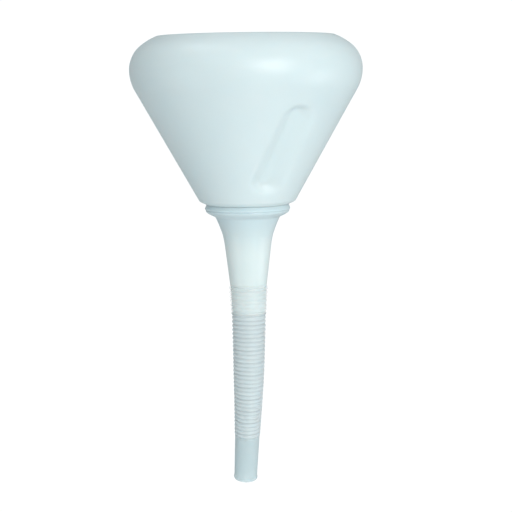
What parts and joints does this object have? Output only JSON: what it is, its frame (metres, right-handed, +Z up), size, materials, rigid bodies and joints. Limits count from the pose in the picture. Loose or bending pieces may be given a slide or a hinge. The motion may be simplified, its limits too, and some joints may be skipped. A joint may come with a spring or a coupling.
{
  "type": "funnel",
  "caption": "Hand-held filling funnel: bowl with turned-in anti-splash shoulder and grip recesses, collared neck, lift-out strainer and flexible corrugated spout.",
  "frame": {"origin": "on the bowl's axis, at the lower edge of the neck's collar, where the collar's slanting underside sits on a drum or can opening", "axes": "+Z up along the bowl's axis towards the mouth; -Y the thumb's side, from which the grip recess shows at the right; +X the side that the hand holds"},
  "size_m": [0.1994, 0.1994, 0.3952],
  "materials": {
    "white_polythene": "satin, faint blow-moulding texture",
    "neck_polythene": "satin",
    "spout_polythene": "satin, slightly translucent",
    "grey_plastic": "matte",
    "brass_wire": "drawn wire"
  },
  "bodies": {
    "funnel_body": {"bowl": "white_polythene", "neck": "neck_polythene"},
    "strainer": {"strainer_frame": "grey_plastic", "strainer_gauze": "brass_wire"},
    "cuff": {"spout_cuff": "spout_polythene"},
    "section_01": {"spout_section_01": "spout_polythene"},
    "section_02": {"spout_section_02": "spout_polythene"},
    "section_03": {"spout_section_03": "spout_polythene"},
    "section_04": {"spout_section_04": "spout_polythene"},
    "section_05": {"spout_section_05": "spout_polythene"},
    "section_06": {"spout_section_06": "spout_polythene"},
    "section_07": {"spout_section_07": "spout_polythene"},
    "section_08": {"spout_section_08": "spout_polythene"},
    "section_09": {"spout_section_09": "spout_polythene"},
    "section_10": {"spout_section_10": "spout_polythene"},
    "tip": {"spout_tip": "spout_polythene"}
  },
  "joints": [
    {"name": "strainer_lift", "type": "slide", "parent": "funnel_body", "child": "strainer", "axis": [0, 0, 1], "range_m": [0, 0.15]},
    {"name": "spout_swivel", "type": "hinge", "parent": "funnel_body", "child": "cuff", "pos_m": [0, 0, -0.073], "axis": [0, 0, 1], "continuous": true},
    {"name": "spout_bend_01", "type": "hinge", "parent": "cuff", "child": "section_01", "pos_m": [0, 0, -0.08596], "axis": [0.9781, 0.2079, 0], "range_deg": [-1.2, 7], "stiffness_Nm_per_rad": 0.5},
    {"name": "spout_bend_02", "type": "hinge", "parent": "section_01", "child": "section_02", "pos_m": [-0.00005, 0.00023, -0.097], "axis": [0.9781, 0.2079, 0], "range_deg": [-1.2, 7], "stiffness_Nm_per_rad": 0.5},
    {"name": "spout_bend_03", "type": "hinge", "parent": "section_02", "child": "section_03", "pos_m": [-0.00014, 0.00068, -0.10803], "axis": [0.9781, 0.2079, 0], "range_deg": [-1.2, 7], "stiffness_Nm_per_rad": 0.5},
    {"name": "spout_bend_04", "type": "hinge", "parent": "section_03", "child": "section_04", "pos_m": [-0.00029, 0.00136, -0.11905], "axis": [0.9781, 0.2079, 0], "range_deg": [-1.2, 7], "stiffness_Nm_per_rad": 0.5},
    {"name": "spout_bend_05", "type": "hinge", "parent": "section_04", "child": "section_05", "pos_m": [-0.00048, 0.00226, -0.13005], "axis": [0.9781, 0.2079, 0], "range_deg": [-1.2, 7], "stiffness_Nm_per_rad": 0.5},
    {"name": "spout_bend_06", "type": "hinge", "parent": "section_05", "child": "section_06", "pos_m": [-0.00072, 0.00339, -0.14103], "axis": [0.9781, 0.2079, 0], "range_deg": [-1.2, 7], "stiffness_Nm_per_rad": 0.5},
    {"name": "spout_bend_07", "type": "hinge", "parent": "section_06", "child": "section_07", "pos_m": [-0.00101, 0.00474, -0.15198], "axis": [0.9781, 0.2079, 0], "range_deg": [-1.2, 7], "stiffness_Nm_per_rad": 0.5},
    {"name": "spout_bend_08", "type": "hinge", "parent": "section_07", "child": "section_08", "pos_m": [-0.00134, 0.00632, -0.1629], "axis": [0.9781, 0.2079, 0], "range_deg": [-1.2, 7], "stiffness_Nm_per_rad": 0.5},
    {"name": "spout_bend_09", "type": "hinge", "parent": "section_08", "child": "section_09", "pos_m": [-0.00173, 0.00812, -0.17379], "axis": [0.9781, 0.2079, 0], "range_deg": [-1.2, 7], "stiffness_Nm_per_rad": 0.5},
    {"name": "spout_bend_10", "type": "hinge", "parent": "section_09", "child": "section_10", "pos_m": [-0.00216, 0.01014, -0.18463], "axis": [0.9781, 0.2079, 0], "range_deg": [-1.2, 7], "stiffness_Nm_per_rad": 0.5},
    {"name": "spout_bend_11", "type": "hinge", "parent": "section_10", "child": "tip", "pos_m": [-0.00263, 0.01239, -0.19543], "axis": [0.9781, 0.2079, 0], "range_deg": [-1.2, 7], "stiffness_Nm_per_rad": 0.5}
  ],
  "couplings": [
    {"joint": "spout_bend_02", "follows": "spout_bend_01", "ratio": 1},
    {"joint": "spout_bend_03", "follows": "spout_bend_01", "ratio": 1},
    {"joint": "spout_bend_04", "follows": "spout_bend_01", "ratio": 1},
    {"joint": "spout_bend_05", "follows": "spout_bend_01", "ratio": 1},
    {"joint": "spout_bend_06", "follows": "spout_bend_01", "ratio": 1},
    {"joint": "spout_bend_07", "follows": "spout_bend_01", "ratio": 1},
    {"joint": "spout_bend_08", "follows": "spout_bend_01", "ratio": 1},
    {"joint": "spout_bend_09", "follows": "spout_bend_01", "ratio": 1},
    {"joint": "spout_bend_10", "follows": "spout_bend_01", "ratio": 1},
    {"joint": "spout_bend_11", "follows": "spout_bend_01", "ratio": 1}
  ]
}
